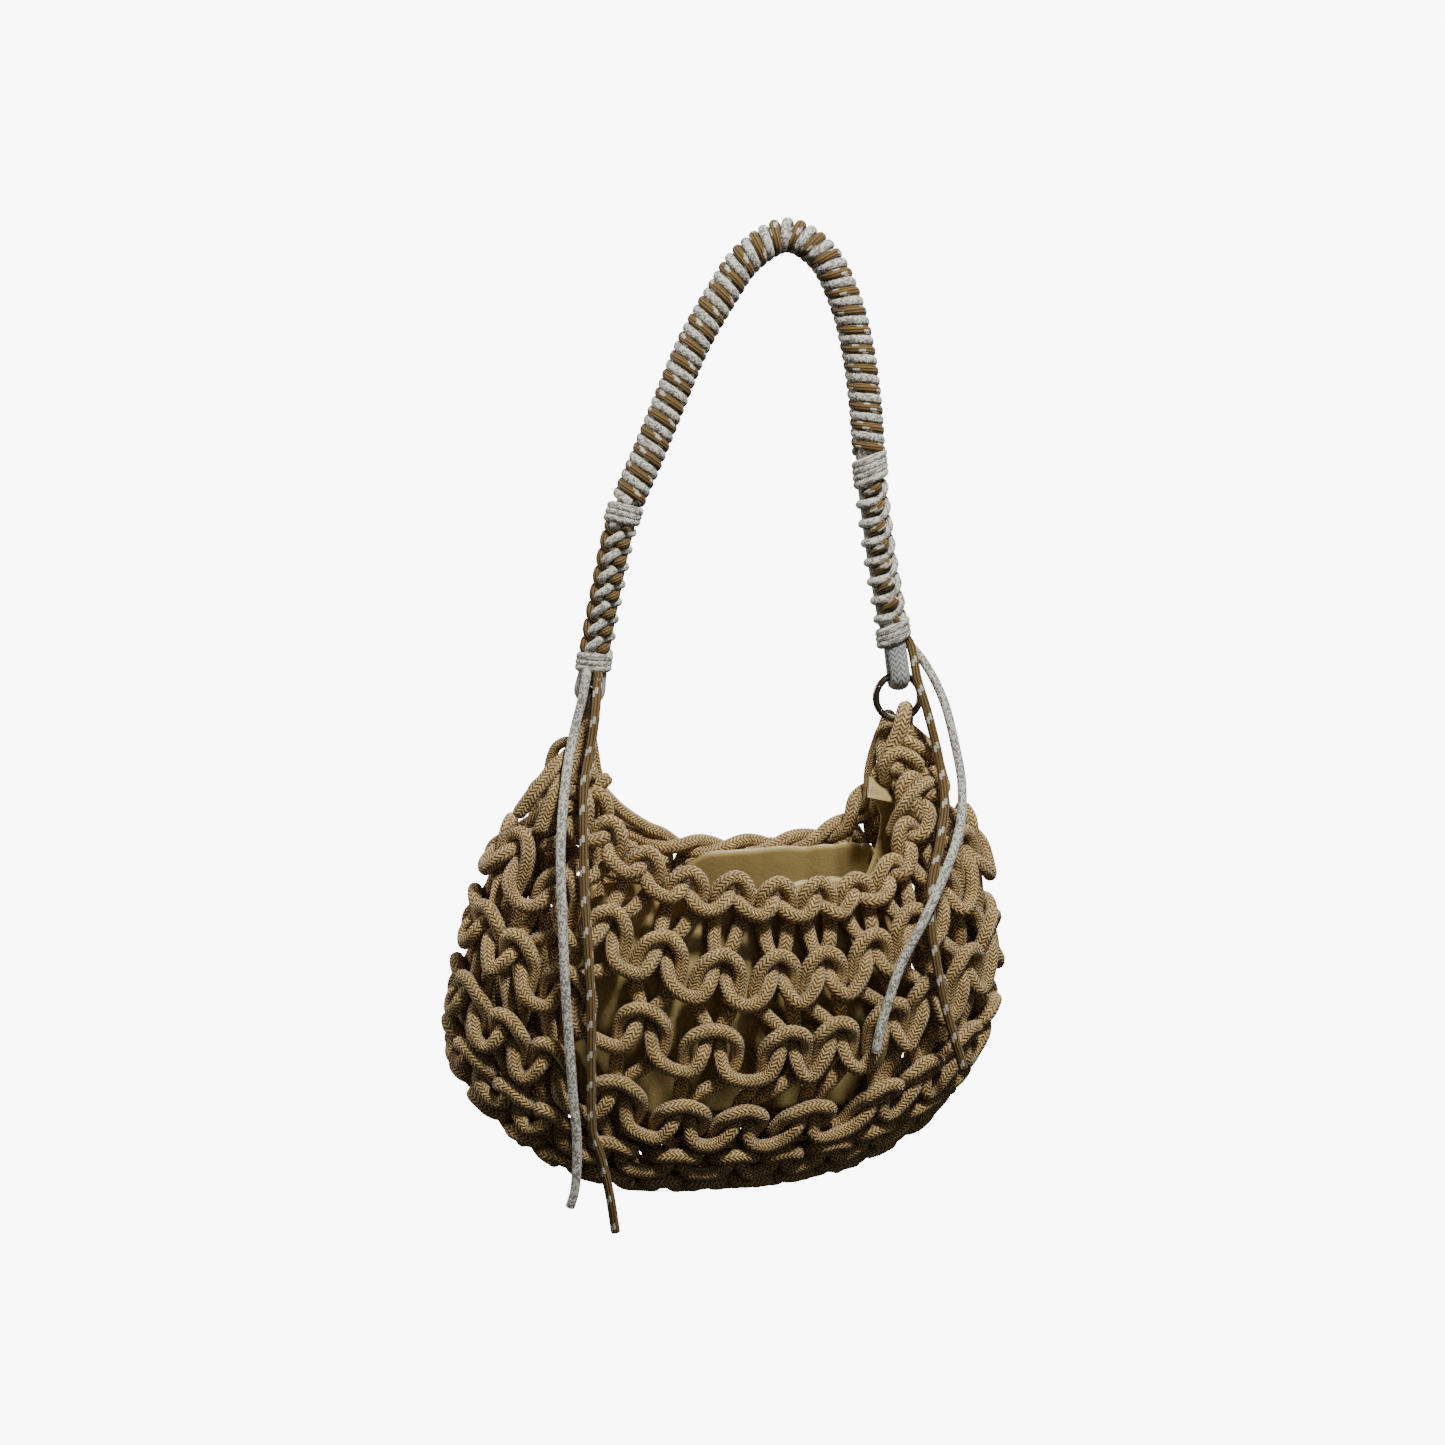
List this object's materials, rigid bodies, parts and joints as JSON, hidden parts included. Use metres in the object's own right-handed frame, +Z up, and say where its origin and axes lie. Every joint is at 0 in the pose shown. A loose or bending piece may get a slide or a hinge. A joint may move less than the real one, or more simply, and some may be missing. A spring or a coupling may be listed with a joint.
{
  "type": "crochet shoulder bag",
  "caption": "Hollow crocheted rope shoulder bag with an open mouth, an inner pouch, snap rings and a short wound rope strap with loose cord ends.",
  "frame": {"origin": "underside of the strap at its highest point, where the bag hangs", "axes": "+Z up, +X along the bag to the right as seen from the front, -Y to the front"},
  "size_m": [0.3165, 0.134, 0.5423],
  "materials": {
    "body_rope": "braided matt rope",
    "cord_white": "braided cord, off-white with grey flecks",
    "cord_brown": "ribbed cord, ochre brown with white flecks",
    "core_rope": "braided rope, pale grey white",
    "strap_cords": "white and brown cords wound and braided",
    "ring_metal": "dark burnished",
    "pouch_sheet": "soft khaki sheet, slightly glossy"
  },
  "bodies": {
    "bag": {"crochet_body": "body_rope", "rim_edge": "body_rope", "ear_left": "body_rope", "ear_right": "body_rope", "inner_pouch": "pouch_sheet", "pouch_tab": "pouch_sheet", "ring_left": "ring_metal", "ring_right": "ring_metal", "strap_loop_left": "core_rope", "strap_loop_right": "core_rope", "collar_lower_left": "cord_white", "collar_lower_right": "cord_white", "collar_upper_left": "cord_white", "collar_upper_right": "cord_white", "braid_left": "strap_cords", "braid_right": "strap_cords", "strap_wrap": "strap_cords", "cord_end_white_left": "cord_white", "cord_end_white_right": "cord_white", "cord_end_brown_left": "cord_brown", "cord_end_brown_right": "cord_brown"},
    "gate_arm_left": {"gate_left": "ring_metal"},
    "gate_arm_right": {"gate_right": "ring_metal"}
  },
  "joints": [
    {"name": "gate_left_hinge", "type": "hinge", "parent": "bag", "child": "gate_arm_left", "pos_m": [-0.1086, 0.01087, -0.24183], "axis": [-1, 0, 0], "range_deg": [0, 30], "stiffness_Nm_per_rad": 0.03, "springref_deg": -22.92},
    {"name": "gate_right_hinge", "type": "hinge", "parent": "bag", "child": "gate_arm_right", "pos_m": [0.05303, 0, -0.23663], "axis": [0, -1, 0], "range_deg": [0, 30], "stiffness_Nm_per_rad": 0.03, "springref_deg": -22.92}
  ]
}
